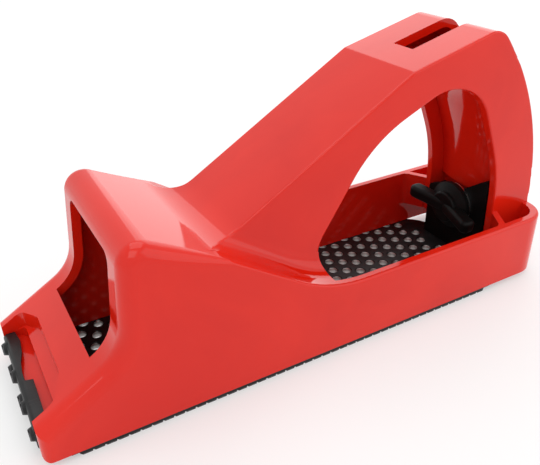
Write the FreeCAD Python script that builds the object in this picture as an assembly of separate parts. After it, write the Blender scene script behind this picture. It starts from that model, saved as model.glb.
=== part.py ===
import FreeCAD, Part
import os
from math import asin, cos, hypot, pi, radians, sin, tan

from FreeCAD import Vector

# A hand rasp: a one-piece plastic body with a D handle, a perforated blade under it and a screw tensioner.
# X runs from the nose to the rear, Y across and Z up from the tips of the teeth.
# Sizes are in millimetres. Places along the body are measured from the nose, heights from the sole, the
# plane in which the body sits on the blade. The origin is the middle of the footprint.

# Body
body_length = 143.5
body_width = 44.0
skin = 2.2
rim_height = 17.6
rim_edge = 0.8
rear_wall = 2.5
rear_foot = 2.0
nose_corner_radius = 2.0
nose_foot_radius = 1.5

# Nose plate and horn
nose_height = 8.3
plate_slope = 30.5
plate_to_horn_radius = 11.0
brow_height = 45.8
brow_radius = 4.7
side_edge_radius = 3.5
crease_height = 35.5
mouth_cheek = 7.8
mouth_top = 39.3
mouth_radius = 2.5

# Pocket in the nose plate
pocket_cheek = 4.7
pocket_length = 7.9
pocket_corner = 6.8
pocket_shoulder = 5.0
pocket_depth = 4.0
pocket_step = 2.7
pocket_floor = 4.6
pocket_radius = 2.5

# Handle
handle_edge = 0.6
ledge_width = 3.7
valley_radius = 11.5
bend_radius = 2.0
crest_height = 69.6
crest_radius = 6.0
groove_depth = 4.5
groove_swell = 1.8
bar_groove_depth = 2.4
loop_edge = 0.5
slot_width = 7.2

# Places behind the nose and radii, as shares of the body's length
chamber_share = 0.0767
mouth_share = 0.0969
horn_share = 0.1324
brow_share = 0.1505
crease_share = 0.2920
valley_share = 0.3164
ledge_foot_share = 0.4826
rim_radius_share = 0.2439
bend_share = 0.6641
crest_share = 0.8474
slot_shares = (0.7178, 0.8676)

# Heights and a radius of the handle's top line, as shares of its crest's height
bend_height_share = 0.9037
heel_height_share = 0.6466
heel_radius_share = 1.0632

# Handle's width and the radius of the body's rear corners, as shares of the body's width
handle_width_share = 0.6273
rear_corner_share = 0.1818

# Opening of the handle in the side view: where its sides meet the sole, and its corners between them.
# Places and radii are shares of the body's length, heights are shares of the crest's height. Its post,
# beside the tensioner, is placed from the body's rear end.
loop_foot_share = 0.5345
loop_shares = [
    # place, height, radius
    (0.4856, 0.3486, 0.0627),
    (0.5931, 0.6927, 0.2269),
    (0.8027, 0.8832, 0.1028),
]
post_shares = (0.4260, 0.3063)  # height, radius
post_setback = 14.94
loop_heel_setback = 13.9

# Rear compartment, and the pockets beside it behind slanted webs
bay_height = 19.8
web = 2.0
web_slant = 3.4
web_radius = 2.5
cheek = 2.4
tray_floor = 9.2
rib_setback = 8.6
rib_thickness = 2.9
rib_foot = 8.0

# Blade
blade_inset = 0.5
blade_tip_gap = 0.4
blade_shoulder = 5.5
blade_setback = 10.5
blade_corner_radius = 10.0
blade_plain_end = 7.0
sheet = 0.7
tooth_height = 1.0
tooth_wall = 0.6
hole_diameter = 2.3
hole_pitch = 8.39
row_pitch = 2.18
row_shift = 3.38
first_hole = 7.75
first_row = 0.62
edge_margin = 1.9
nose_wrap = 0.2
front_bend = 0.8
lip_height = 6.3
lip_bend = 0.3
lip_length = 3.1
hook_inset = 1.9
hook_height = 3.0

# Tensioner
bolt_height = 14.9
bolt_diameter = 5.0
bolt_tip_inset = 1.5
bolt_chamfer = 0.5
head_across = 8.0
head_thickness = 3.0
head_sides = 6
nut_length = 4.0
nut_diameter = 9.2
nut_base_diameter = 14.0
nut_base = 1.3
nut_edge = 0.65
wing_span = 24.8
wing_thickness = 3.8
wing_depth = 4.6
wing_sweep = 3.2
wing_tilt = 6.0
wing_rounding = 1.8
wing_edge = 1.2
insert_diameter = 7.2
insert_reach = 1.9
insert_cover = 1.2
washer_diameter = 13.0
washer_thickness = 1.0
carriage_setback = 15.0
carriage_length = 5.7
carriage_plate = 2.0
shoulder_height = 16.8
dip_height = 19.6
dip_radius = 3.0
tab_height = 27.0
tab_rounding = 1.2

# Across the carriage, where the dip beside the tab starts and ends, as shares of half its width
dip_shares = (-0.10, 0.45)

# Clearances
running = 0.1
gap = 0.3
contact = 0.06

# One overrun for all cuts, and the width within which an edge counts as lying on a plane
overrun = 6.0
hair = 0.01

nose = (nose_wrap + tooth_height - body_length) / 2
sole = sheet + tooth_height
half_body = body_width / 2
half_inside = half_body - skin
half_handle = body_width * handle_width_share / 2
half_groove = half_handle - skin
half_pocket = half_body - pocket_cheek
cove_radius = half_body - half_handle - ledge_width
rear_corner_radius = body_width * rear_corner_share

brow_place = body_length * brow_share
crease_place = body_length * crease_share
loop_foot_place = body_length * loop_foot_share
loop_heel_place = body_length - loop_heel_setback
chamber_start = body_length * chamber_share
mouth_start = body_length * mouth_share
slot_start, slot_end = [body_length * share for share in slot_shares]
rim_radius = body_length * rim_radius_share

bay_end = body_length - rear_wall
rib_start = body_length - rib_setback
rib_end = rib_start + rib_thickness
blade_end = body_length - blade_setback
carriage_front = body_length - carriage_setback
carriage_rear = carriage_front + carriage_length
nut_rear = carriage_front - washer_thickness - 2 * contact
nut_front = nut_rear - nut_length
insert_start = nut_front + insert_cover
insert_end = carriage_front + insert_reach
bolt_tip = nut_front + bolt_tip_inset


def at(x, z, y=0.0):
    """A point by its place behind the nose, its height above the sole and its place across."""
    return Vector(nose + x, y, sole + z)


def side_point(x, z):
    return at(x, z)


def plan_point(x, y):
    return at(x, 0, y)


def front_point(y, z):
    return Vector(0, y, sole + z)


def rounded(corners, closed=True, view=side_point):
    """A wire through corners given as (u, v) or (u, v, radius), with arcs in the rounded corners."""
    points = [view(*corner[:2]) for corner in corners]
    radii = [corner[2] if len(corner) > 2 else 0 for corner in corners]
    count = len(points)
    starts, ends, arcs = [], [], []
    for i, point in enumerate(points):
        radius = radii[i]
        if not radius:
            starts.append(point)
            ends.append(point)
            arcs.append(None)
            continue
        back = (points[i - 1] - point).normalize()
        ahead = (points[(i + 1) % count] - point).normalize()
        half_turn = back.getAngle(ahead) / 2
        reach = radius / tan(half_turn)
        middle = (back + ahead).normalize()
        bulge = radius / sin(half_turn) - radius
        starts.append(point + back * reach)
        ends.append(point + ahead * reach)
        arcs.append(point + middle * bulge)
    edges = []
    for i in range(count):
        if arcs[i] is not None:
            edges.append(Part.Arc(starts[i], arcs[i], ends[i]).toShape())
        following = (i + 1) % count
        if following == 0 and not closed:
            break
        if (starts[following] - ends[i]).Length > hair:
            edges.append(Part.LineSegment(ends[i], starts[following]).toShape())
    return Part.Wire(edges)


def across(corners, half_width):
    """The solid of a side outline, as wide as twice half_width."""
    face = Part.Face(rounded(corners))
    face.translate(Vector(0, -half_width, 0))
    return face.extrude(Vector(0, 2 * half_width, 0))


def upright(corners, bottom, top):
    """The solid of a plan outline between two heights above the sole."""
    face = Part.Face(rounded(corners, view=plan_point))
    face.translate(Vector(0, 0, bottom))
    return face.extrude(Vector(0, 0, top - bottom))


def lengthwise(corners, start, end):
    """The solid of a front outline between two places along the body."""
    face = Part.Face(rounded(corners, view=front_point))
    face.translate(Vector(nose + start, 0, 0))
    return face.extrude(Vector(end - start, 0, 0))


def mirrored(corners):
    """A symmetrical plan outline from its corners on one side, listed from front to rear."""
    other = [(x, -y, *rest) for x, y, *rest in reversed(corners)]
    return corners + other


def rod(radius, start, end):
    """A cylinder along the bolt's axis."""
    return Part.makeCylinder(radius, end - start, at(start, bolt_height), Vector(1, 0, 0))


def swept(path, section):
    """The solid that a section, given as (y, out, radius) corners, makes along a path in a side view."""
    start = path.Edges[0]
    tangent = start.tangentAt(start.FirstParameter)
    out = Vector(-tangent.z, 0, tangent.x)
    base = start.valueAt(start.FirstParameter)
    profile = rounded(section, view=lambda y, rise: base + Vector(0, y, 0) + out * rise)
    pipe = Part.BRepOffsetAPI.MakePipeShell(path)
    pipe.setBiNormalMode(Vector(0, 1, 0))
    pipe.add(profile)
    pipe.build()
    pipe.makeSolid()
    return pipe.shape()


def round_edges(shape, radius, lowest=0):
    """The round edges of one radius above a height."""
    found = []
    for edge in shape.Edges:
        if isinstance(edge.Curve, Part.Circle) and abs(edge.Curve.Radius - radius) < hair:
            if edge.CenterOfMass.z > sole + lowest - hair:
                found.append(edge)
    return found


def end_edges(shape, place):
    """The edges that lie across the body at one place."""
    return [edge for edge in shape.Edges if abs(edge.CenterOfMass.x - nose - place) < hair]


def crossing(first, first_way, second, second_way):
    """Where two lines, each given by a point and a direction, cross in a side or plan view."""
    cross = first_way[0] * second_way[1] - first_way[1] * second_way[0]
    apart = (second[0] - first[0], second[1] - first[1])
    share = (apart[0] * second_way[1] - apart[1] * second_way[0]) / cross
    return (first[0] + first_way[0] * share, first[1] + first_way[1] * share)


def inset(corners, walls):
    """Clockwise corners moved inwards by one wall for each side, a side starting at its corner."""
    count = len(corners)
    sides = []
    for i, corner in enumerate(corners):
        following = corners[(i + 1) % count]
        run = following[0] - corner[0]
        rise = following[1] - corner[1]
        length = hypot(run, rise)
        inward = (rise / length * walls[i], -run / length * walls[i])
        sides.append(((corner[0] + inward[0], corner[1] + inward[1]), (run, rise)))
    moved = []
    for i, corner in enumerate(corners):
        before, after = sides[i - 1], sides[i]
        point = crossing(*before, *after)
        if len(corner) > 2:
            turn = before[1][0] * after[1][1] - before[1][1] * after[1][0]
            grown = walls[i] if turn > 0 else -walls[i]
            point += (max(corner[2] + grown, 0),)
        moved.append(point)
    return moved


# Lines of the side view
plate_rise = tan(radians(plate_slope))
horn_fall = (brow_height - crease_height) / (crease_place - brow_place)


def horn_line(x):
    """The height of the horn's top line."""
    return crease_height + (crease_place - x) * horn_fall


horn_foot_place = body_length * horn_share
horn_foot = (horn_foot_place, nose_height + plate_rise * horn_foot_place)
crease = (crease_place, crease_height)
ledge_foot = (body_length * ledge_foot_share, rim_height)
ledge_fall = (crease_height - rim_height) / (ledge_foot[0] - crease_place)
valley_place = body_length * valley_share
valley = (valley_place, horn_line(valley_place))
bend = (body_length * bend_share, crest_height * bend_height_share)
crest = (body_length * crest_share, crest_height)
ribbon = [
    (*valley, valley_radius),
    (*bend, bend_radius),
    (*crest, crest_radius),
    (body_length, crest_height * heel_height_share, crest_height * heel_radius_share),
]

post = (body_length - post_setback, crest_height * post_shares[0], body_length * post_shares[1])
loop_corners = [(body_length * x, crest_height * z, body_length * radius) for x, z, radius in loop_shares]
loop_corners.append(post)
loop = [
    (loop_foot_place, -overrun),
    (loop_foot_place, 0),
    *loop_corners,
    (loop_heel_place, 0),
    (loop_heel_place, -overrun),
]
knee = loop_corners[0]
loop_top_radius = loop_shares[-1][2] * body_length
leg_way = (knee[0] - loop_foot_place, knee[1])
leg_foot = crossing(crease, (1, -ledge_fall), (loop_foot_place, 0), leg_way)


def bar_line(x):
    """The height of the handle's top bar."""
    return bend[1] + (x - bend[0]) * (crest[1] - bend[1]) / (crest[0] - bend[0])


def post_line(z):
    """The place of the front of the handle's post near the rim."""
    return loop_heel_place + (post[0] - loop_heel_place) * z / post[1]


def make_shell():
    """The outside of the body without its handle. The rounding of its sides tapers along the horn."""
    tail = crease_place + overrun
    block = across([
        (0, 0, nose_foot_radius),
        (0, nose_height),
        (*horn_foot, plate_to_horn_radius),
        (brow_place, brow_height, brow_radius),
        (tail, horn_line(tail)),
        (body_length + overrun, horn_line(tail)),
        (body_length + overrun, 0),
    ], half_body)
    top_edges = [edge for edge in block.Edges if abs(abs(edge.CenterOfMass.y) - half_body) < hair
                 and brow_place + brow_radius < edge.CenterOfMass.x - nose < tail
                 and edge.CenterOfMass.z > sole + horn_line(tail)]
    block = block.makeFillet(side_edge_radius, rim_edge, top_edges)
    envelope = across([
        (-overrun, 0),
        (-overrun, crease_height + (crease_place + overrun) * ledge_fall),
        (*ledge_foot, rim_radius),
        (body_length, rim_height),
        (body_length, rear_foot),
        (body_length - 2 * rear_foot, 0),
    ], half_body)
    footprint = upright(mirrored([
        (0, half_body, nose_corner_radius),
        (body_length, half_body, rear_corner_radius),
    ]), 0, 2 * crest_height)
    envelope = envelope.common(footprint)
    envelope = envelope.makeFillet(rim_edge, round_edges(envelope, rear_corner_radius, rim_height))
    return block.common(envelope)


def handle_block(half_width):
    """The handle's side outline, as wide as twice half_width, without its opening."""
    start = brow_place + 2 * side_edge_radius
    return across([
        (start, tray_floor),
        (start, horn_line(start)),
        *ribbon,
        (body_length, tray_floor),
    ], half_width)


def make_coves():
    """The hollow curves in which the handle's sides run out on the shoulders."""
    start = crease_place - cove_radius
    path = rounded([
        (start, crease_height + (crease_place - start) * ledge_fall),
        (*ledge_foot, rim_radius),
        (loop_foot_place + cove_radius, rim_height),
    ], closed=False)
    inner = half_handle - skin
    coves = []
    for side in (-1, 1):
        section = [
            (side * inner, -skin),
            (side * (half_handle + cove_radius), -skin),
            (side * (half_handle + cove_radius), 0),
            (side * half_handle, 0, cove_radius),
            (side * half_handle, cove_radius),
            (side * inner, cove_radius),
        ]
        coves.append(swept(path, section).common(handle_block(half_body)))
    return coves


def make_handle():
    """The handle with its coves. The rounding of its top edges follows their flare."""
    handle = handle_block(half_handle)
    handle = handle.cut(across(loop, half_body))
    handle = handle.makeFillet(loop_edge, round_edges(handle, loop_top_radius, rim_height))
    handle = handle.fuse(make_coves()).removeSplitter()
    return handle.makeFillet(handle_edge, round_edges(handle, crest_radius, bend[1]))


def make_chamber():
    """The hollow under the plate, the horn and the shoulders."""
    outside = [
        (chamber_start, -overrun),
        (chamber_start, nose_height + plate_rise * chamber_start),
        (*horn_foot, plate_to_horn_radius),
        (brow_place, brow_height, brow_radius),
        crease,
        leg_foot,
        (loop_foot_place, 0),
        (loop_foot_place, -overrun),
    ]
    leg = groove_depth + skin
    return across(inset(outside, [0, skin, skin, skin, skin, leg, leg, 0]), half_inside)


def make_core():
    """The hollow inside the handle, open to the chamber below it."""
    leg = groove_depth + skin
    bar = bar_groove_depth + skin
    outside = [
        (crease_place, leg_foot[1]),
        crease,
        *ribbon,
        (body_length, tray_floor),
        (post_line(tray_floor), tray_floor),
        *reversed(loop_corners),
        leg_foot,
    ]
    walls = [0, skin, skin, skin, skin, skin, skin, leg, leg, bar, leg, leg, 0]
    ceiling = bay_height + skin
    bay = across([
        (loop_heel_place, -overrun),
        (loop_heel_place, ceiling),
        (body_length + overrun, ceiling),
        (body_length + overrun, -overrun),
    ], half_body)
    return across(inset(outside, walls), half_groove).cut(bay)


def groove_outline():
    leg = -groove_depth
    return inset(loop, [leg, leg, leg, -bar_groove_depth, leg, leg, leg, 0])


def make_groove():
    """The groove round the inside of the handle, with its floor swollen along the middle."""
    groove = across(groove_outline(), half_groove)
    radius = (half_groove ** 2 + groove_swell ** 2) / (2 * groove_swell)
    apex = radius / cos(asin(half_groove / radius)) - radius + groove_swell
    section = [
        (-half_groove, -skin / 2),
        (half_groove, -skin / 2),
        (half_groove, 0),
        (0, apex, radius),
        (-half_groove, 0),
    ]
    path = rounded(list(reversed(groove_outline()[1:7])), closed=False)
    return groove.cut(swept(path, section))


def make_channel():
    """The space between the side walls, as far as the webs."""
    opening = across(loop, half_inside)
    web_front = post_line(rim_height)
    plan = upright(mirrored([
        (knee[0] - groove_depth, half_inside),
        (web_front - web_slant, half_inside, web_radius),
        (web_front, half_handle),
    ]), -overrun, 2 * crest_height)
    return opening.common(plan).fuse(across(loop, half_handle))


def make_mouth():
    """The opening in the front of the horn."""
    half = half_body - mouth_cheek
    sill = nose_height + plate_rise * mouth_start - 1.5 * skin
    return lengthwise([
        (-half, sill),
        (-half, mouth_top, mouth_radius),
        (half, mouth_top, mouth_radius),
        (half, sill),
    ], mouth_start, brow_place + 2 * skin)


def make_pocket():
    """The stepped pocket in the nose plate, open to the front."""
    back = half_pocket - pocket_corner
    top = 2 * horn_foot[1]
    upper = upright(mirrored([
        (-overrun, half_pocket),
        (pocket_shoulder, half_pocket, pocket_radius),
        (pocket_length, back, pocket_radius),
    ]), 0, top)
    floor = nose_height - pocket_depth
    above = across([
        (-overrun, floor - overrun * plate_rise),
        (-overrun, top),
        (horn_foot_place, top),
        (horn_foot_place, floor + horn_foot_place * plate_rise),
    ], half_body)
    lower = upright(mirrored([
        (-overrun, half_pocket),
        (pocket_length - pocket_step, half_pocket, pocket_radius),
    ]), pocket_floor, top)
    return [upper.common(above), lower]


def make_tab_seat():
    """The step in the nose that takes the blade's turned-up front end."""
    face = sheet - nose_wrap + contact
    return across([
        (-overrun, -overrun),
        (-overrun, nose_height),
        (face, nose_height),
        (face, 0, front_bend + contact),
        (overrun, 0),
        (overrun, -overrun),
    ], half_pocket)


def make_bay():
    """The compartment of the tensioner, open below."""
    return across([
        (loop_heel_place, -overrun),
        (loop_heel_place, bay_height),
        (bay_end, bay_height),
        (bay_end, -overrun),
    ], half_groove)


def make_corner_pockets():
    """The hollows behind the webs on both sides of the post, and the one under their floor."""
    radius = rear_corner_radius - skin
    start = post_line(rim_height) + web
    hollows = [upright(mirrored([
        (start - web_slant - overrun, half_inside),
        (bay_end, half_inside, radius),
    ]), -overrun, tray_floor - skin)]
    for side in (-1, 1):
        plan = [
            (start, side * half_handle),
            (start - web_slant, side * half_inside),
            (bay_end, side * half_inside, radius),
            (bay_end, side * half_handle),
        ]
        hollows.append(upright(plan, tray_floor, 2 * crest_height))
    return hollows


def make_bolt_seat():
    """The rib that the bolt's head pulls on, with cheeks that keep the head from turning."""
    half_slot = bolt_diameter / 2 + running
    half_head = head_across / 2 + running
    rib = lengthwise([
        (-half_groove, rib_foot),
        (-half_groove, bay_height),
        (half_groove, bay_height),
        (half_groove, rib_foot),
    ], rib_start, rib_end)
    cheeks = lengthwise([
        (-half_head - cheek, rib_foot),
        (-half_head - cheek, bay_height),
        (half_head + cheek, bay_height),
        (half_head + cheek, rib_foot),
    ], rib_end, bay_end)
    shank = lengthwise([
        (-half_slot, -overrun),
        (-half_slot, bolt_height + half_slot, half_slot),
        (half_slot, bolt_height + half_slot, half_slot),
        (half_slot, -overrun),
    ], rib_start, bay_end)
    head = lengthwise([
        (-half_head, -overrun),
        (-half_head, bay_height - contact),
        (half_head, bay_height - contact),
        (half_head, -overrun),
    ], rib_end, bay_end)
    return rib.fuse(cheeks).cut([shank, head])


def make_slot():
    """The slot in the handle's top bar."""
    sill = bar_line(slot_start) - 1.5 * skin
    return across([
        (slot_start, sill),
        (slot_start, crest_height + overrun),
        (slot_end, crest_height + overrun),
        (slot_end, sill),
    ], slot_width / 2)


def make_body():
    body = make_shell().fuse(make_handle())
    hollows = [make_chamber(), make_core(), make_channel(), make_groove(), make_mouth(), make_slot()]
    hollows += [*make_pocket(), make_tab_seat(), make_bay(), *make_corner_pockets()]
    for hollow in hollows:
        body = body.cut(hollow)
    return body.fuse(make_bolt_seat()).removeSplitter()


def make_hole_places():
    """The developed places of the holes: rows along the blade, each row shifted against the last."""
    places = []
    half = half_body - blade_inset - edge_margin
    rows = int(half / row_pitch) + 1
    for row in range(-rows, rows + 1):
        y = first_row + row * row_pitch
        if abs(y) > half:
            continue
        phase = (first_hole - row * row_shift) % hole_pitch
        count = int(blade_end / hole_pitch) + 1
        for i in range(-1, count):
            places.append((phase + i * hole_pitch, y))
    return places


def make_tooth():
    """A tooth under a hole at the origin: a collar cut off on a slant, highest at its rear."""
    radius = hole_diameter / 2
    outer = radius + tooth_wall
    collar = Part.makeCylinder(outer, tooth_height, Vector(0, 0, -tooth_height))
    collar = collar.cut(Part.makeCylinder(radius, tooth_height, Vector(0, 0, -tooth_height)))
    slant = Part.Face(Part.makePolygon([
        Vector(-outer, -outer, 0),
        Vector(-outer, -outer, -tooth_height),
        Vector(outer, -outer, -tooth_height),
        Vector(-outer, -outer, 0),
    ]))
    return collar.cut(slant.extrude(Vector(0, 2 * outer, 0)))


def make_strip():
    """The blade without holes: a flat strip, turned up at its front and at the hook behind."""
    half = half_body - blade_inset
    half_tip = half_pocket - blade_tip_gap
    front = -nose_wrap
    inner = front + sheet
    strip = across([
        (blade_end, 0),
        (blade_end, -sheet),
        (front, -sheet, front_bend + sheet),
        (front, lip_height, lip_bend + sheet),
        (lip_length, lip_height),
        (lip_length, lip_height - sheet),
        (inner, lip_height - sheet, lip_bend),
        (inner, 0, front_bend),
    ], half_tip)
    flat = upright(mirrored([
        (inner + front_bend, half_tip),
        (blade_shoulder, half, front_bend),
        (blade_end, half, blade_corner_radius),
    ]), -sheet, 0)
    hook_start = blade_end - blade_corner_radius
    hook = across([
        (hook_start, -sheet),
        (hook_start, 0),
        (blade_end - sheet, 0, lip_bend),
        (blade_end - sheet, hook_height),
        (blade_end, hook_height),
        (blade_end, -sheet, lip_bend + sheet),
    ], half_groove - hook_inset)
    return strip.fuse([flat, hook]).removeSplitter()


def make_blade():
    half = half_body - blade_inset
    half_tip = half_pocket - blade_tip_gap
    radius = hole_diameter / 2
    reach = radius + tooth_wall
    front = -nose_wrap
    bend_start = front + sheet + front_bend
    bend_length = (front_bend + sheet / 2) * pi / 2
    under = make_tooth()
    ahead = make_tooth()
    ahead.rotate(Vector(), Vector(0, 1, 0), 90)
    teeth, holes = [], []
    for x, y in make_hole_places():
        rear_edge = blade_end - blade_corner_radius + half - abs(y)
        front_edge = bend_start if abs(y) < half_tip - reach else blade_shoulder
        height = front_bend + bend_start - bend_length - x
        last = min(blade_end - blade_plain_end, rear_edge - edge_margin)
        if front_edge + reach < x < last:
            place = at(x, -sheet, y)
            hole = Part.makeCylinder(radius, 3 * sheet, place - Vector(0, 0, sheet))
            tooth = under.copy()
        elif front_bend + radius < height < lip_height - lip_bend - radius and abs(y) < half_tip - reach:
            place = at(front, height, y)
            hole = Part.makeCylinder(radius, 3 * sheet, place - Vector(sheet, 0, 0), Vector(1, 0, 0))
            tooth = ahead.copy()
        else:
            continue
        tooth.translate(place)
        holes.append(hole)
        teeth.append(tooth)
    return make_strip().cut(holes).fuse(teeth)


def make_bolt():
    """The bolt along the body, its six-sided head behind the rib."""
    head_start = rib_end + contact
    half_side = pi / head_sides
    tip = head_across / cos(half_side) / 2
    turns = [half_side * (2 * i + 1) for i in range(head_sides)]
    corners = [(tip * cos(turn), bolt_height + tip * sin(turn)) for turn in turns]
    head = lengthwise(corners, head_start, head_start + head_thickness)
    rounding = Part.makeCone(tip, head_across / 2, head_thickness,
                             at(head_start, bolt_height), Vector(1, 0, 0))
    shank = rod(bolt_diameter / 2, bolt_tip, head_start)
    shank = shank.makeChamfer(bolt_chamfer, end_edges(shank, bolt_tip))
    return shank.fuse(head.common(rounding)).removeSplitter()


def make_insert():
    """The threaded insert, held in the knob and turning in the carriage."""
    outside = rod(insert_diameter / 2, insert_start, insert_end)
    return outside.cut(rod(bolt_diameter / 2 + contact, nut_front, insert_end + overrun))


def make_wing(side):
    """One wing in its own plane, the outline in plan and the thickness upright, with round edges."""
    half = wing_span / 2
    tip = nut_front - wing_sweep
    root = nut_rear - nut_base
    face = Part.Face(rounded([
        (nut_front, 0),
        (tip, side * half, wing_rounding),
        (tip + wing_depth, side * half, wing_rounding),
        (root, side * nut_base_diameter / 2, wing_rounding),
        (root, 0),
    ], view=plan_point))
    wing = face.extrude(Vector(0, 0, wing_thickness))
    wing.translate(Vector(0, 0, bolt_height - wing_thickness / 2))
    faces = (sole + bolt_height - wing_thickness / 2, sole + bolt_height + wing_thickness / 2)
    outer = [edge for edge in wing.Edges if abs(edge.CenterOfMass.y) > hair
             and min(abs(edge.CenterOfMass.z - z) for z in faces) < hair]
    return wing.makeFillet(wing_edge, outer)


def make_wing_nut():
    """The knob: a hub with a wider base and two wings that lean towards the nose."""
    hub_radius = nut_diameter / 2
    base_radius = nut_base_diameter / 2
    flare_start = nut_front + nut_base
    base_start = nut_rear - nut_base
    hub = rod(hub_radius, nut_front, nut_rear)
    hub = hub.makeFillet(nut_edge, end_edges(hub, nut_front))
    flare = Part.makeCone(hub_radius, base_radius, base_start - flare_start,
                          at(flare_start, bolt_height), Vector(1, 0, 0))
    base = rod(base_radius, base_start, nut_rear)
    knob = hub.fuse([flare, base, make_wing(-1), make_wing(1)])
    knob = knob.cut(rod(insert_diameter / 2, insert_start, nut_rear + overrun)).removeSplitter()
    knob.rotate(at(nut_front, bolt_height), Vector(1, 0, 0), wing_tilt)
    return knob


def make_washer():
    start = nut_rear + contact
    washer = rod(washer_diameter / 2, start, carriage_front - contact)
    return washer.cut(rod(insert_diameter / 2 + running, nut_front, carriage_rear))


def make_carriage():
    """The block that slides along the bolt, hooked in front of the blade's turned-up end."""
    half = half_groove - gap
    dip_start, dip_end = [half * share for share in dip_shares]
    foot_end = blade_end - sheet - contact
    plate = lengthwise([
        (-half, gap, gap),
        (-half, tab_height, tab_rounding),
        (dip_start, dip_height, dip_radius),
        (dip_end, dip_height, dip_radius),
        (half, shoulder_height, tab_rounding),
        (half, gap, gap),
    ], carriage_front, carriage_front + carriage_plate)
    block = lengthwise([
        (-half, gap),
        (-half, shoulder_height, tab_rounding),
        (half, shoulder_height, tab_rounding),
        (half, gap),
    ], carriage_front + carriage_plate, carriage_rear)
    space = across([
        (foot_end, -overrun),
        (foot_end, hook_height + gap),
        (carriage_rear + overrun, hook_height + gap),
        (carriage_rear + overrun, -overrun),
    ], half_body)
    carriage = plate.fuse(block).cut(space)
    bore = rod(bolt_diameter / 2 + running, carriage_front - overrun, carriage_rear + overrun)
    sleeve = rod(insert_diameter / 2 + running, carriage_front - overrun, insert_end + gap)
    return carriage.cut([bore, sleeve]).removeSplitter()


sub_parts = {
    "body": make_body(),
    "rasp_blade": make_blade(),
    "tension_carriage": make_carriage(),
    "tension_bolt": make_bolt(),
    "wing_nut": make_wing_nut(),
    "threaded_insert": make_insert(),
    "thrust_washer": make_washer(),
}
os.makedirs("parts", exist_ok=True)
for name, shape in sub_parts.items():
    shape.exportStep("parts/" + name + ".step")
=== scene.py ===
import math

import bpy
from mathutils import Euler, Matrix, Vector, kdtree


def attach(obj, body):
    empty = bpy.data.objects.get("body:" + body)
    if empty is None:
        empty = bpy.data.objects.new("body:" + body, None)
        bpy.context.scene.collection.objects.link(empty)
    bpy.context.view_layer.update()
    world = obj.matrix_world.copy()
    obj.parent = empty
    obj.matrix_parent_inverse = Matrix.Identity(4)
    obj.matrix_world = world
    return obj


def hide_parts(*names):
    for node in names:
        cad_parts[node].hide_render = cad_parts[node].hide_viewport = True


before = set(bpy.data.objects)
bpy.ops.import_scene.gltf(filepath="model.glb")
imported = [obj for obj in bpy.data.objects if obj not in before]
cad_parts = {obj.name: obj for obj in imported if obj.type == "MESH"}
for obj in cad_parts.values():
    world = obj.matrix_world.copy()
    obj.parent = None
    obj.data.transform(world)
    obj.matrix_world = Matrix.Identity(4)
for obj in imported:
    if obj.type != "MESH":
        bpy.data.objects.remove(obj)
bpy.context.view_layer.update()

print("frame loaded")

mm = 0.001
noseX = -71.15  # where the body's nose is, in millimetres
soleZ = 1.7     # height of the body's sole above the floor

camera = {
    "place": (-73.16, -120.70, 105.98),  # millimetres, in the frame
    "azimuth": -29.02,
    "elevation": 30.24,
    "roll": 1.13,
    "lens": 42.43,
    "sensor": 36.0,
    "clipStart": 0.01,
}


def makeCamera():
    data = bpy.data.cameras.new("photoCamera")
    data.sensor_fit = "HORIZONTAL"
    data.sensor_width = camera["sensor"]
    data.lens = camera["lens"]
    data.clip_start = camera["clipStart"]
    obj = bpy.data.objects.new("photoCamera", data)
    bpy.context.scene.collection.objects.link(obj)
    turn = Matrix.Rotation(math.radians(camera["azimuth"]), 4, "Z")
    tip = Matrix.Rotation(math.radians(90 - camera["elevation"]), 4, "X")
    roll = Matrix.Rotation(math.radians(-camera["roll"]), 4, "Z")
    place = Matrix.Translation(Vector(camera["place"]) * mm)
    obj.matrix_world = place @ turn @ tip @ roll
    bpy.context.scene.camera = obj


nodeGrid = 200    # distance between the nodes of a material on their sheet


def addNode(tree, kind, place, values=None, **settings):
    node = tree.nodes.new("ShaderNode" + kind)
    node.location = (place[0] * nodeGrid, place[1] * nodeGrid)
    for key, value in settings.items():
        setattr(node, key, value)
    for key, value in (values or {}).items():
        node.inputs[key].default_value = value
    return node


def newMaterial(name, values):
    mat = bpy.data.materials.new(name)
    mat.use_nodes = True
    tree = mat.node_tree
    bsdf = tree.nodes["Principled BSDF"]
    for key, value in values.items():
        bsdf.inputs[key].default_value = value
    coords = addNode(tree, "TexCoord", (-7, 0))
    return mat, tree, bsdf, coords.outputs["Object"]


def newGroup(name, inputs, outputs):
    group = bpy.data.node_groups.new(name, "ShaderNodeTree")
    newSocket = group.interface.new_socket
    for label, kind, value in inputs:
        socket = newSocket(name=label, in_out="INPUT", socket_type="NodeSocket" + kind)
        if value is not None:
            socket.default_value = value
    for label, kind in outputs:
        newSocket(name=label, in_out="OUTPUT", socket_type="NodeSocket" + kind)
    start = group.nodes.new("NodeGroupInput")
    start.location = (-5 * nodeGrid, 0)
    end = group.nodes.new("NodeGroupOutput")
    end.location = (4 * nodeGrid, 0)
    return group, start, end


def useGroup(tree, group, place, values=None):
    node = addNode(tree, "Group", place, node_tree=group)
    for key, value in (values or {}).items():
        node.inputs[key].default_value = value
    return node


def ramp(tree, place, deep, light):
    node = addNode(tree, "ValToRGB", place)
    for element, position, color in zip(node.color_ramp.elements, (0.3, 0.7), (deep, light)):
        element.position = position
        element.color = (*color, 1)
    return node


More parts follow.
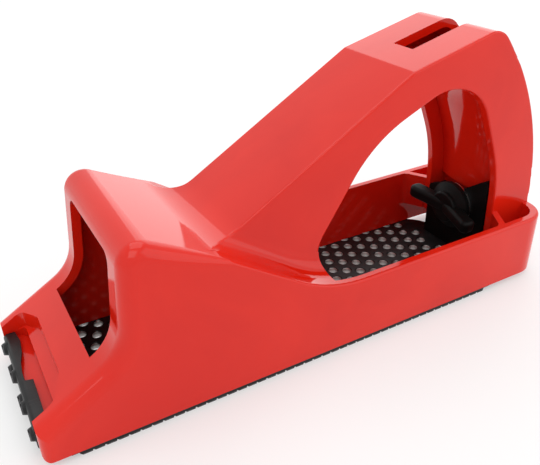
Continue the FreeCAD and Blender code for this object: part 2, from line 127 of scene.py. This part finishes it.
# Skin of a moulding: long waves from shrinkage, fine grain from the tool, cloudy pigment
def makeMouldSkin():
    group, start, end = newGroup("mouldSkin", [
        ("Vector", "Vector", None),
        ("Wave Scale", "Float", 45.0),
        ("Grain Scale", "Float", 1400.0),
        ("Grain Share", "Float", 0.3),
        ("Cloud Scale", "Float", 30.0),
    ], [("Height", "Float"), ("Cloud", "Float")])
    wave = addNode(group, "TexNoise", (-3, 2), {"Detail": 1.0, "Roughness": 0.4})
    grain = addNode(group, "TexNoise", (-3, 0), {"Detail": 3.0, "Roughness": 0.6})
    cloud = addNode(group, "TexNoise", (-3, -2), {
        "Detail": 4.0,
        "Roughness": 0.55,
        "Distortion": 0.6,
    })
    blend = addNode(group, "Mix", (0, 1), data_type="FLOAT")
    link = group.links.new
    for node, scale in ((wave, "Wave Scale"), (grain, "Grain Scale"), (cloud, "Cloud Scale")):
        link(start.outputs["Vector"], node.inputs["Vector"])
        link(start.outputs[scale], node.inputs["Scale"])
    link(start.outputs["Grain Share"], blend.inputs["Factor"])
    link(wave.outputs["Fac"], blend.inputs["A"])
    link(grain.outputs["Fac"], blend.inputs["B"])
    link(blend.outputs["Result"], end.inputs["Height"])
    link(cloud.outputs["Fac"], end.inputs["Cloud"])
    return group


# Handling: smears of skin grease and hairline scratches along one way
def makeHandling():
    group, start, end = newGroup("handling", [
        ("Vector", "Vector", None),
        ("Smear Scale", "Float", 25.0),
        ("Smooth", "Float", 0.15),
        ("Smeared", "Float", 0.3),
        ("Scratch Stretch", "Vector", (30.0, 900.0, 900.0)),
        ("Scratch Amount", "Float", 0.15),
    ], [("Roughness", "Float"), ("Scratch", "Float")])
    smear = addNode(group, "TexNoise", (-3, 2), {
        "Detail": 5.0,
        "Roughness": 0.65,
        "Distortion": 1.2,
    })
    level = addNode(group, "MapRange", (-1, 2), {"From Min": 0.35, "From Max": 0.7})
    stretch = addNode(group, "VectorMath", (-4, -1), operation="MULTIPLY")
    lines = addNode(group, "TexNoise", (-3, -1), {"Scale": 1.0, "Detail": 2.0, "Roughness": 0.5})
    thin = addNode(group, "MapRange", (-1, -1), {"From Min": 0.66, "From Max": 0.72})
    weaken = addNode(group, "Math", (1, -1), operation="MULTIPLY")
    rougher = addNode(group, "Math", (2, 1), operation="ADD")
    link = group.links.new
    link(start.outputs["Vector"], smear.inputs["Vector"])
    link(start.outputs["Smear Scale"], smear.inputs["Scale"])
    link(smear.outputs["Fac"], level.inputs["Value"])
    link(start.outputs["Smooth"], level.inputs["To Min"])
    link(start.outputs["Smeared"], level.inputs["To Max"])
    link(start.outputs["Vector"], stretch.inputs[0])
    link(start.outputs["Scratch Stretch"], stretch.inputs[1])
    link(stretch.outputs["Vector"], lines.inputs["Vector"])
    link(lines.outputs["Fac"], thin.inputs["Value"])
    link(thin.outputs["Result"], weaken.inputs[0])
    link(start.outputs["Scratch Amount"], weaken.inputs[1])
    link(level.outputs["Result"], rougher.inputs[0])
    link(weaken.outputs["Value"], rougher.inputs[1])
    link(rougher.outputs["Value"], end.inputs["Roughness"])
    link(weaken.outputs["Value"], end.inputs["Scratch"])
    return group


# Rubbed metal: where a coordinate passes a limit, such as the tips of the teeth, broken up by noise
def makeRubbed():
    group, start, end = newGroup("rubbed", [
        ("Vector", "Vector", None),
        ("Across", "Vector", (0.0, 0.0, 1.0)),
        ("Bright From", "Float", 0.0),
        ("Dark From", "Float", 0.001),
        ("Speckle Scale", "Float", 900.0),
    ], [("Mask", "Float")])
    along = addNode(group, "VectorMath", (-4, 1), operation="DOT_PRODUCT")
    level = addNode(group, "MapRange", (-2, 1), {"To Min": 1.0, "To Max": 0.0})
    speckle = addNode(group, "TexNoise", (-3, -1), {"Detail": 3.0, "Roughness": 0.7})
    uneven = addNode(group, "MapRange", (-1, -1), {
        "From Min": 0.3,
        "From Max": 0.6,
        "To Min": 0.35,
        "To Max": 1.0,
    })
    mask = addNode(group, "Math", (1, 0), operation="MULTIPLY")
    link = group.links.new
    link(start.outputs["Vector"], along.inputs[0])
    link(start.outputs["Across"], along.inputs[1])
    link(along.outputs["Value"], level.inputs["Value"])
    link(start.outputs["Bright From"], level.inputs["From Min"])
    link(start.outputs["Dark From"], level.inputs["From Max"])
    link(start.outputs["Vector"], speckle.inputs["Vector"])
    link(start.outputs["Speckle Scale"], speckle.inputs["Scale"])
    link(speckle.outputs["Fac"], uneven.inputs["Value"])
    link(level.outputs["Result"], mask.inputs[0])
    link(uneven.outputs["Result"], mask.inputs[1])
    link(mask.outputs["Value"], end.inputs["Mask"])
    return group


# Turned metal: fine rings round the bolt's axis, and a thread of one pitch
def makeTurned():
    group, start, end = newGroup("turned", [
        ("Vector", "Vector", None),
        ("Axis Height", "Float", 0.0166),
        ("Pitch", "Float", 0.0008),
    ], [("Thread", "Float"), ("Rings", "Float")])
    ringStretch = (9000.0, 60.0, 60.0)
    wholeTurn, halfPitch = 2 * math.pi, 0.5
    split = addNode(group, "SeparateXYZ", (-4, 0))
    low = addNode(group, "Math", (-3, -1), operation="SUBTRACT")
    angle = addNode(group, "Math", (-2, -1), operation="ARCTAN2")
    turns = addNode(group, "Math", (-1, -1), {1: wholeTurn}, operation="DIVIDE")
    steps = addNode(group, "Math", (-2, 1), operation="DIVIDE")
    total = addNode(group, "Math", (0, 0), operation="ADD")
    tooth = addNode(group, "Math", (1, 0), {1: halfPitch}, operation="PINGPONG")
    squeeze = addNode(group, "VectorMath", (-3, 3), {1: ringStretch}, operation="MULTIPLY")
    rings = addNode(group, "TexNoise", (-1, 3), {"Scale": 1.0, "Detail": 2.0})
    link = group.links.new
    link(start.outputs["Vector"], split.inputs["Vector"])
    link(split.outputs["Z"], low.inputs[0])
    link(start.outputs["Axis Height"], low.inputs[1])
    link(low.outputs["Value"], angle.inputs[0])
    link(split.outputs["Y"], angle.inputs[1])
    link(angle.outputs["Value"], turns.inputs[0])
    link(split.outputs["X"], steps.inputs[0])
    link(start.outputs["Pitch"], steps.inputs[1])
    link(turns.outputs["Value"], total.inputs[0])
    link(steps.outputs["Value"], total.inputs[1])
    link(total.outputs["Value"], tooth.inputs[0])
    link(tooth.outputs["Value"], end.inputs["Thread"])
    link(start.outputs["Vector"], squeeze.inputs[0])
    link(squeeze.outputs["Vector"], rings.inputs["Vector"])
    link(rings.outputs["Fac"], end.inputs["Rings"])
    return group


groups = {
    "skin": makeMouldSkin(),
    "handling": makeHandling(),
    "rubbed": makeRubbed(),
    "turned": makeTurned(),
}
print("node groups made")

redPlastic = {
    "deep": (0.66, 0.012, 0.004),
    "light": (0.75, 0.018, 0.006),
    "shader": {"IOR": 1.5, "Specular IOR Level": 0.36},
    "skin": {"Wave Scale": 40.0, "Grain Share": 0.12},
    "handling": {"Smooth": 0.05, "Smeared": 0.11, "Scratch Amount": 0.06},
    "bump": {"Strength": 0.05, "Distance": 0.0004},
}

blackPlastic = {
    "deep": (0.002, 0.002, 0.002),
    "light": (0.005, 0.005, 0.005),
    "shader": {"IOR": 1.45, "Specular IOR Level": 0.14},
    "skin": {
        "Wave Scale": 200.0,
        "Grain Scale": 3500.0,
        "Grain Share": 0.7,
        "Cloud Scale": 90.0,
    },
    "handling": {
        "Smear Scale": 90.0,
        "Smooth": 0.42,
        "Smeared": 0.55,
        "Scratch Amount": 0.1,
    },
    "bump": {"Strength": 0.25, "Distance": 0.0001},
}

blackSteel = {
    "deep": (0.005, 0.005, 0.005),
    "light": (0.014, 0.014, 0.015),
    "bare": (0.15, 0.15, 0.155),
    "shader": {"IOR": 1.5, "Specular IOR Level": 0.3},
    "skin": {
        "Wave Scale": 250.0,
        "Grain Scale": 4000.0,
        "Grain Share": 0.5,
        "Cloud Scale": 160.0,
    },
    "handling": {
        "Smear Scale": 60.0,
        "Smooth": 0.36,
        "Smeared": 0.5,
        "Scratch Stretch": (60.0, 2200.0, 2200.0),
        "Scratch Amount": 0.12,
    },
    "bump": {"Strength": 0.2, "Distance": 0.0001},
    # where the black is rubbed off: the tips under the sheet, and those in front of the nose
    "rubbedUnder": {"Bright From": 0.1 * mm, "Dark From": 0.45 * mm},
    "rubbedAhead": {
        "Across": (1.0, 0.0, 0.0),
        "Bright From": (noseX - 1.1) * mm,
        "Dark From": (noseX - 0.75) * mm,
    },
}


# what every black or red surface has: cloudy tones, marks of handling and a fine bump
def addSurface(tree, bsdf, coords, look):
    skin = useGroup(tree, groups["skin"], (-5, -1), look["skin"])
    hands = useGroup(tree, groups["handling"], (-5, 1), look["handling"])
    tones = ramp(tree, (-3, 1), look["deep"], look["light"])
    bump = addNode(tree, "Bump", (-2, -2), look["bump"])
    link = tree.links.new
    link(coords, skin.inputs["Vector"])
    link(coords, hands.inputs["Vector"])
    link(skin.outputs["Cloud"], tones.inputs["Fac"])
    link(hands.outputs["Roughness"], bsdf.inputs["Roughness"])
    link(skin.outputs["Height"], bump.inputs["Height"])
    link(bump.outputs["Normal"], bsdf.inputs["Normal"])
    return tones.outputs["Color"], hands.outputs["Scratch"]


def makePlastic(name, look):
    mat, tree, bsdf, coords = newMaterial(name, look["shader"])
    color, _ = addSurface(tree, bsdf, coords, look)
    tree.links.new(color, bsdf.inputs["Base Color"])
    return mat


def makeBlackSteel():
    mat, tree, bsdf, coords = newMaterial("blackSteel", blackSteel["shader"])
    oxide, scratch = addSurface(tree, bsdf, coords, blackSteel)
    under = useGroup(tree, groups["rubbed"], (-5, 3), blackSteel["rubbedUnder"])
    ahead = useGroup(tree, groups["rubbed"], (-5, 5), blackSteel["rubbedAhead"])
    tips = addNode(tree, "Math", (-3, 4), operation="MAXIMUM")
    worn = addNode(tree, "Math", (-2, 4), operation="MAXIMUM")
    color = addNode(tree, "Mix", (-1, 2), data_type="RGBA")
    color.inputs["B"].default_value = (*blackSteel["bare"], 1)
    link = tree.links.new
    link(coords, under.inputs["Vector"])
    link(coords, ahead.inputs["Vector"])
    link(under.outputs["Mask"], tips.inputs[0])
    link(ahead.outputs["Mask"], tips.inputs[1])
    link(tips.outputs["Value"], worn.inputs[0])
    link(scratch, worn.inputs[1])
    link(oxide, color.inputs["A"])
    link(worn.outputs["Value"], color.inputs["Factor"])
    link(color.outputs["Result"], bsdf.inputs["Base Color"])
    link(worn.outputs["Value"], bsdf.inputs["Metallic"])
    return mat


plainDepth = 0.00001    # bump of a thread's pitch where there is no thread

turnedMetal = {
    # deep and light tone, roughness, depth of the thread
    "cutSteel": ((0.40, 0.39, 0.38), (0.55, 0.53, 0.52), 0.4, plainDepth),
    "zincSteel": ((0.50, 0.50, 0.49), (0.66, 0.66, 0.64), 0.28, 0.0003),
    "brass": ((0.62, 0.44, 0.17), (0.78, 0.58, 0.26), 0.22, plainDepth),
    "washerSteel": ((0.48, 0.48, 0.48), (0.6, 0.6, 0.6), 0.25, plainDepth),
}


def makeTurnedMetal(name):
    deep, light, roughness, threadDepth = turnedMetal[name]
    mat, tree, bsdf, coords = newMaterial(name, {"Metallic": 1.0})
    turned = useGroup(tree, groups["turned"], (-4, 0))
    hands = useGroup(tree, groups["handling"], (-4, 2), {
        "Smear Scale": 200.0,
        "Smooth": roughness,
        "Smeared": roughness + 0.12,
        "Scratch Amount": 0.1,
    })
    color = ramp(tree, (-2, 1), deep, light)
    cuts = addNode(tree, "Bump", (-3, -2), {"Strength": 0.3, "Distance": 0.00003})
    thread = addNode(tree, "Bump", (-1, -2), {"Strength": 1.0, "Distance": threadDepth})
    link = tree.links.new
    link(coords, turned.inputs["Vector"])
    link(coords, hands.inputs["Vector"])
    link(turned.outputs["Rings"], color.inputs["Fac"])
    link(color.outputs["Color"], bsdf.inputs["Base Color"])
    link(hands.outputs["Roughness"], bsdf.inputs["Roughness"])
    link(turned.outputs["Rings"], cuts.inputs["Height"])
    link(turned.outputs["Thread"], thread.inputs["Height"])
    link(cuts.outputs["Normal"], thread.inputs["Normal"])
    link(thread.outputs["Normal"], bsdf.inputs["Normal"])
    return mat


def dress(node, mat):
    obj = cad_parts[node]
    obj.data.materials.clear()
    obj.data.materials.append(mat)


blade = {
    "sheet": 0.7,
    "halfWidth": 21.5,
    "halfTip": 16.9,
    "shoulder": 5.5,
    "end": 133.0,
    "corner": 10.0,
    "cornerSteps": 8,
    "edgeRound": 0.08,
    "front": -0.2,      # the outer face in front of the nose
    "bend": 0.8,        # inner radius of the front bend
    "bendSteps": 6,
    "lipTop": 6.3,
    "lipBend": 0.3,
    "lipBendSteps": 4,
    "hookHalf": 9.0,
    "hookNotch": 0.4,
    "hookTop": 3.0,
    # the ragged end of the lip: place across, how far it reaches back there
    "lipEnds": [(16.9, 2.6), (12.9, 3.1), (8.2, 2.6), (4.7, 1.7), (1.1, 1.3),
                (-1.9, 1.3), (-2.4, 3.0), (-10.5, 2.9), (-16.9, 2.8)],
    "holeRadius": 1.15,
    # the dished hole, from above the sheet to under the tooth: height, radius
    "dish": [(0.15, 1.75), (-0.05, 1.5), (-0.2, 1.28), (-0.45, 1.15), (-2.2, 1.15)],
    "holeSides": 16,
    "toothFoot": 1.8,
    "toothTip": 1.28,
    "toothHeight": 1.0,
    "toothSides": 14,
    "reach": 1.75,      # from a hole's middle to the nearest bend
    "pitch": 8.39,
    "rowPitch": 2.18,
    "rowShift": 3.38,
    "firstHole": 7.75,
    "firstRow": 0.62,
    "margin": 1.2,      # from a hole's middle to the sheet's long edge
    "plainEnd": 7.0,    # without holes before the rear end
    "plainTop": 1.45,   # and below the top of the turned-up front
    # the fringe of cut teeth along the two long edges
    "fringeInset": 0.6,
    "fringePitch": 5.2,
    "fringeStart": 8.5,
    "fringeEnd": 124.0,
    "fringeTrim": 0.1,
    # the bare walls in the holes: heights, distance from the hole's middle, how level they may be
    "bareBand": (-1.6, -0.22),
    "bareWithin": 1.2,
    "bareSlope": 0.95,
    "smoothBelow": 30,
}


# a point by its place behind the nose, across, and above the body's sole
def spot(x, y, z):
    return Vector((noseX + x, y, soleZ + z)) * mm


def close(value, target, within=0.01):
    return abs(value - target) < within * mm


def atPlace(x):
    return lambda co: close(co.x, spot(x, 0, 0).x)


def clearSelection():
    bpy.ops.object.select_all(action="DESELECT")


def selectOnly(obj):
    clearSelection()
    obj.select_set(True)
    bpy.context.view_layer.objects.active = obj


# selects the vertices, edges or faces whose places pass the test
def pick(obj, kind, test):
    bpy.ops.mesh.select_all(action="DESELECT")
    bpy.ops.object.mode_set(mode="OBJECT")
    mesh = obj.data
    for vertex in mesh.vertices:
        vertex.select = kind == "VERT" and test(vertex.co)
    for edge in mesh.edges:
        ends = [mesh.vertices[i].co for i in edge.vertices]
        edge.select = kind == "EDGE" and all(test(end) for end in ends)
    for face in mesh.polygons:
        face.select = kind == "FACE" and test(face.center)
    bpy.ops.object.mode_set(mode="EDIT")
    bpy.ops.mesh.select_mode(type=kind)


def applyModifier(obj, kind, **settings):
    selectOnly(obj)
    modifier = obj.modifiers.new(kind.lower(), kind)
    for key, value in settings.items():
        setattr(modifier, key, value)
    bpy.ops.object.modifier_apply(modifier=modifier.name)


def placeCopy(source, name, place, turn=(0, 0, 0)):
    obj = source.copy()
    obj.data = source.data.copy()
    obj.name = name
    bpy.context.scene.collection.objects.link(obj)
    obj.data.transform(Matrix.Translation(place) @ Euler(turn).to_matrix().to_4x4())
    return obj


def joined(objects, name):
    selectOnly(objects[0])
    for obj in objects:
        obj.select_set(True)
    bpy.ops.object.join()
    result = bpy.context.object
    result.name = name
    return result


def extrudeEdges(x, y, z):
    step = {"value": (x * mm, y * mm, z * mm)}
    bpy.ops.mesh.extrude_edges_move(TRANSFORM_OT_translate=step)


def resize(x, y, z):
    bpy.ops.transform.resize(value=(x, y, z))


def move(x, y, z):
    bpy.ops.transform.translate(value=(x * mm, y * mm, z * mm))


# bends the picked edge through a quarter turn, up or down, round a line across the blade
def bendEdge(x, z, way, steps):
    bpy.ops.mesh.spin(steps=steps, angle=way * math.pi / 2, center=spot(x, 0, z), axis=(0, 1, 0))


# the sheet's middle surface, cut and bent, and then given its thickness
def makeStrip():
    half = blade["sheet"] / 2
    bendX = blade["front"] + blade["sheet"] + blade["bend"]
    lipX = blade["front"] + blade["sheet"] + blade["lipBend"]
    lipZ = blade["lipTop"] - blade["sheet"] - blade["lipBend"]
    hookX = blade["end"] - blade["sheet"] - blade["lipBend"]
    length = blade["end"] - blade["shoulder"]
    clearSelection()
    bpy.ops.mesh.primitive_plane_add(size=1, location=(0, 0, 0))
    strip = bpy.context.object
    strip.name = "toothedBlade"
    bpy.ops.object.mode_set(mode="EDIT")
    resize(length * mm, 2 * blade["halfWidth"] * mm, 1)
    bpy.ops.transform.translate(value=spot(blade["shoulder"] + length / 2, 0, -half))

    # shoulders, where the sheet narrows to the width of its turned-up front
    pick(strip, "EDGE", atPlace(blade["shoulder"]))
    extrudeEdges(bendX - blade["shoulder"], 0, 0)
    resize(1, blade["halfTip"] / blade["halfWidth"], 1)

    # round rear corners
    atEnd = atPlace(blade["end"])
    pick(strip, "VERT", atEnd)
    bpy.ops.mesh.bevel(offset=blade["corner"] * mm, segments=blade["cornerSteps"], affect="VERTICES")

    # the hook: the middle of the rear edge, cut free at both sides, set forward and bent up
    pick(strip, "EDGE", atEnd)
    bpy.ops.mesh.subdivide(number_cuts=4)
    fifth = 2 * (blade["halfWidth"] - blade["corner"]) / 5
    inner, outer = 0.5 * fifth, 1.5 * fifth
    pick(strip, "VERT", lambda co: atEnd(co) and close(abs(co.y), outer * mm))
    resize(1, (blade["hookHalf"] + blade["hookNotch"]) / outer, 1)
    pick(strip, "VERT", lambda co: atEnd(co) and close(abs(co.y), inner * mm))
    resize(1, blade["hookHalf"] / inner, 1)
    move(hookX - blade["end"], 0, 0)
    pick(strip, "EDGE", atPlace(hookX))
    bendEdge(hookX, blade["lipBend"], 1, blade["lipBendSteps"])
    extrudeEdges(0, 0, blade["hookTop"] - blade["lipBend"])

    # front bend, wall, and the lip with its ragged end
    pick(strip, "EDGE", atPlace(bendX))
    bendEdge(bendX, blade["bend"], -1, blade["bendSteps"])
    extrudeEdges(0, 0, lipZ - blade["bend"])
    bendEdge(lipX, lipZ, -1, blade["lipBendSteps"])
    ends = blade["lipEnds"]
    lipEnd = ends[0][1]
    extrudeEdges(lipEnd - lipX, 0, 0)
    atLipEnd = atPlace(lipEnd)
    wallTop = spot(0, 0, lipZ).z
    pick(strip, "EDGE", lambda co: atLipEnd(co) and co.z > wallTop)
    bpy.ops.mesh.subdivide(number_cuts=len(ends) - 2)
    step = 2 * blade["halfTip"] / (len(ends) - 1)
    for i, (y, x) in enumerate(ends):
        now = blade["halfTip"] - step * i
        pick(strip, "VERT", lambda co: atLipEnd(co) and close(co.y, now * mm) and co.z > wallTop)
        move(x - lipEnd, y - now, 0)
    bpy.ops.object.mode_set(mode="OBJECT")
    applyModifier(strip, "SOLIDIFY", thickness=blade["sheet"] * mm, offset=0, use_even_offset=True)
    applyModifier(strip, "BEVEL", width=blade["edgeRound"] * mm, segments=2,
                  limit_method="ANGLE", angle_limit=1.0)
    return strip


# a tooth below a hole at the origin: a collar cut off on a slant, longest behind the hole
def makeTooth():
    high = blade["sheet"] / 2
    tall = high + blade["toothHeight"]
    foot, tip = blade["toothFoot"], blade["toothTip"]
    clearSelection()
    bpy.ops.mesh.primitive_cone_add(vertices=blade["toothSides"], radius1=tip * mm, radius2=foot * mm,
                                    depth=tall * mm, location=(0, 0, 0))
    tooth = bpy.context.object
    tooth.name = "bladeTooth"
    bpy.ops.object.mode_set(mode="EDIT")
    move(0, 0, high - tall / 2)
    bpy.ops.mesh.bisect(plane_co=(-foot * mm, 0, 0), plane_no=(-blade["toothHeight"], 0, -2 * tip),
                        use_fill=True, clear_outer=True)
    bpy.ops.object.mode_set(mode="OBJECT")
    return tooth


# what a punch takes out of the sheet: a shallow dish that runs into a round hole
def makePunch():
    (top, wide), *rest = blade["dish"]
    clearSelection()
    bpy.ops.mesh.primitive_circle_add(vertices=blade["holeSides"], radius=wide * mm,
                                      fill_type="NGON", location=(0, 0, 0))
    punch = bpy.context.object
    punch.name = "holePunch"
    bpy.ops.object.mode_set(mode="EDIT")
    move(0, 0, top)
    height, radius = top, wide
    for nextHeight, nextRadius in rest:
        step = (0, 0, (nextHeight - height) * mm)
        bpy.ops.mesh.extrude_region_move(TRANSFORM_OT_translate={"value": step})
        resize(nextRadius / radius, nextRadius / radius, 1)
        height, radius = nextHeight, nextRadius
    bpy.ops.mesh.select_all(action="SELECT")
    bpy.ops.mesh.normals_make_consistent(inside=False)
    bpy.ops.object.mode_set(mode="OBJECT")
    return punch


# the places of the holes on the flat and on the turned-up front, row by row
def holePlaces():
    bendX = blade["front"] + blade["sheet"] + blade["bend"]
    bendLength = (blade["bend"] + blade["sheet"] / 2) * math.pi / 2
    lowest = blade["bend"] + blade["holeRadius"]
    highest = blade["lipTop"] - blade["plainTop"]
    widest = blade["halfWidth"] - blade["margin"]
    flat, ahead = [], []
    rows = int(widest / blade["rowPitch"]) + 1
    for row in range(-rows, rows + 1):
        y = blade["firstRow"] + row * blade["rowPitch"]
        if abs(y) > widest:
            continue
        first = (blade["firstHole"] - row * blade["rowShift"]) % blade["pitch"]
        onTip = abs(y) < blade["halfTip"] - blade["reach"]
        front = (bendX if onTip else blade["shoulder"]) + blade["reach"]
        corner = blade["end"] - blade["corner"] + blade["halfWidth"] - abs(y) - blade["margin"]
        for i in range(-1, int(blade["end"] / blade["pitch"]) + 1):
            x = first + i * blade["pitch"]
            height = blade["bend"] + bendX - bendLength - x
            if front < x < min(corner, blade["end"] - blade["plainEnd"]):
                flat.append((x, y))
            elif onTip and lowest < height < highest:
                ahead.append((height, y))
    return flat, ahead


# one row of edge teeth along both long edges, from a place behind the nose
def makeFringe(tooth, start):
    count = int((blade["fringeEnd"] - blade["fringeStart"]) / blade["fringePitch"])
    edge = blade["halfWidth"] - blade["fringeInset"]
    row = [placeCopy(tooth, "tooth", spot(start + i * blade["fringePitch"], side * edge, -blade["sheet"]))
           for i in range(count) for side in (-1, 1)]
    return joined(row, "fringe")


# cuts off what stands out over the sheet's two long edges
def trimSides(obj, halfWidth):
    selectOnly(obj)
    bpy.ops.object.mode_set(mode="EDIT")
    for side in (-1, 1):
        bpy.ops.mesh.select_all(action="SELECT")
        bpy.ops.mesh.bisect(plane_co=(0, side * halfWidth * mm, 0), plane_no=(0, side, 0),
                            use_fill=True, clear_outer=True)
    bpy.ops.object.mode_set(mode="OBJECT")


# the walls of the punched holes, where the cut steel is bare
def bareHoles(obj, places):
    tree = kdtree.KDTree(len(places))
    for i, place in enumerate(places):
        tree.insert(place, i)
    tree.balance()
    low, high = [spot(0, 0, height).z for height in blade["bareBand"]]
    for face in obj.data.polygons:
        center = face.center
        if low < center.z < high:
            _, _, away = tree.find(Vector((center.x, center.y, 0)))
            if away < blade["bareWithin"] * mm and abs(face.normal.z) < blade["bareSlope"]:
                face.material_index = 1


def makeBlade():
    strip = makeStrip()
    tooth, punch = makeTooth(), makePunch()
    flat, ahead = holePlaces()
    sheet, front = blade["sheet"], blade["front"]
    forward = (0, math.pi / 2, 0)
    teeth = [placeCopy(tooth, "tooth", spot(x, y, -sheet)) for x, y in flat]
    teeth += [placeCopy(tooth, "tooth", spot(front, y, z), forward) for z, y in ahead]
    punches = [placeCopy(punch, "punch", spot(x, y, 0)) for x, y in flat]
    punches += [placeCopy(punch, "punch", spot(front + sheet, y, z), forward) for z, y in ahead]
    parts = [joined(teeth, "allTeeth")]
    for shift in (0, blade["fringePitch"] / 2):
        parts.append(makeFringe(tooth, blade["fringeStart"] + shift))
    for part in parts:
        trimSides(part, blade["halfWidth"] - blade["fringeTrim"])
        applyModifier(strip, "BOOLEAN", operation="UNION", object=part, solver="MANIFOLD")
    allPunches = joined(punches, "allPunches")
    applyModifier(strip, "BOOLEAN", operation="DIFFERENCE", object=allPunches, solver="MANIFOLD")
    for spare in (tooth, punch, *parts, allPunches):
        bpy.data.objects.remove(spare)
    selectOnly(strip)
    bpy.ops.object.shade_smooth_by_angle(angle=math.radians(blade["smoothBelow"]))
    strip.data.materials.clear()
    strip.data.materials.append(makeBlackSteel())
    strip.data.materials.append(makeTurnedMetal("cutSteel"))
    bareHoles(strip, [spot(x, y, -soleZ) for x, y in flat])
    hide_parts("rasp_blade")
    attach(strip, "frame")
    print("blade made:", len(strip.data.polygons), "faces,", len(flat) + len(ahead), "holes")


studio = {
    "floorSize": 3.0,
    "floorColor": (0.93, 0.93, 0.93, 1),
    "floorRoughness": 0.9,
    "floorGlow": 0.4,    # what the camera sees of the paper besides the light that falls on it
    "ambient": 0.7,
    "aim": (0, 0, 0.03),
    "lamps": [
        # name, place, size, watts, colour
        ("keyLamp", (-0.35, -0.45, 0.75), 0.6, 1.5, (1.0, 0.98, 0.95)),
        ("fillLamp", (0.55, -0.5, 0.45), 0.7, 1.1, (0.98, 0.99, 1.0)),
        ("topLamp", (0.1, 0.25, 0.9), 0.8, 2.6, (1.0, 1.0, 1.0)),
        ("backPanel", (0.45, 0.52, 0.25), 0.6, 1.0, (1.0, 1.0, 1.0)),
    ],
}


# 1 for what the camera sees, also in gloss and through glass
def seenDirectly(tree, place):
    path = addNode(tree, "LightPath", place)
    seen = addNode(tree, "Math", (place[0] + 1, place[1]), operation="MAXIMUM")
    clear = addNode(tree, "Math", (place[0] + 2, place[1]), operation="MAXIMUM")
    tree.links.new(path.outputs["Is Camera Ray"], seen.inputs[0])
    tree.links.new(path.outputs["Is Glossy Ray"], seen.inputs[1])
    tree.links.new(seen.outputs["Value"], clear.inputs[0])
    tree.links.new(path.outputs["Is Transmission Ray"], clear.inputs[1])
    return clear.outputs["Value"]


def makeFloor():
    clearSelection()
    bpy.ops.mesh.primitive_plane_add(size=studio["floorSize"], location=(0, 0, 0))
    floor = bpy.context.object
    floor.name = "floor"
    mat = bpy.data.materials.new("floorPaper")
    mat.use_nodes = True
    tree = mat.node_tree
    bsdf = tree.nodes["Principled BSDF"]
    bsdf.inputs["Base Color"].default_value = studio["floorColor"]
    bsdf.inputs["Roughness"].default_value = studio["floorRoughness"]
    glow = addNode(tree, "Emission", (0, -3), {"Strength": 1.0})
    blend = addNode(tree, "MixShader", (2, 0))
    share = addNode(tree, "Math", (1, 2), {1: studio["floorGlow"]}, operation="MULTIPLY")
    link = tree.links.new
    link(seenDirectly(tree, (-3, 2)), share.inputs[0])
    link(share.outputs["Value"], blend.inputs["Fac"])
    link(bsdf.outputs["BSDF"], blend.inputs[1])
    link(glow.outputs["Emission"], blend.inputs[2])
    link(blend.outputs["Shader"], tree.nodes["Material Output"].inputs["Surface"])
    floor.data.materials.append(mat)


def makeRoom():
    world = bpy.data.worlds.new("whiteRoom")
    bpy.context.scene.world = world
    world.use_nodes = True
    tree = world.node_tree
    background = tree.nodes["Background"]
    background.inputs["Color"].default_value = (1, 1, 1, 1)
    strength = addNode(tree, "MapRange", (-2, 0), {"To Min": studio["ambient"], "To Max": 1.0})
    tree.links.new(seenDirectly(tree, (-6, 0)), strength.inputs["Value"])
    tree.links.new(strength.outputs["Result"], background.inputs["Strength"])


def makeLamps():
    for name, place, size, watts, color in studio["lamps"]:
        light = bpy.data.lights.new(name, "AREA")
        light.size = size
        light.energy = watts
        light.color = color
        lamp = bpy.data.objects.new(name, light)
        lamp.location = place
        lamp.visible_camera = False
        aim = Vector(studio["aim"]) - Vector(place)
        lamp.rotation_euler = aim.to_track_quat("-Z", "Y").to_euler()
        bpy.context.scene.collection.objects.link(lamp)


makeCamera()
makeFloor()
makeRoom()
makeLamps()
bpy.context.scene.view_settings.view_transform = "Standard"
print("studio ready")

makeBlade()
blackMoulding = makePlastic("blackPlastic", blackPlastic)
dress("body", makePlastic("redPlastic", redPlastic))
dress("tension_carriage", blackMoulding)
dress("wing_nut", blackMoulding)
dress("tension_bolt", makeTurnedMetal("zincSteel"))
dress("threaded_insert", makeTurnedMetal("brass"))
dress("thrust_washer", makeTurnedMetal("washerSteel"))
print("materials done")
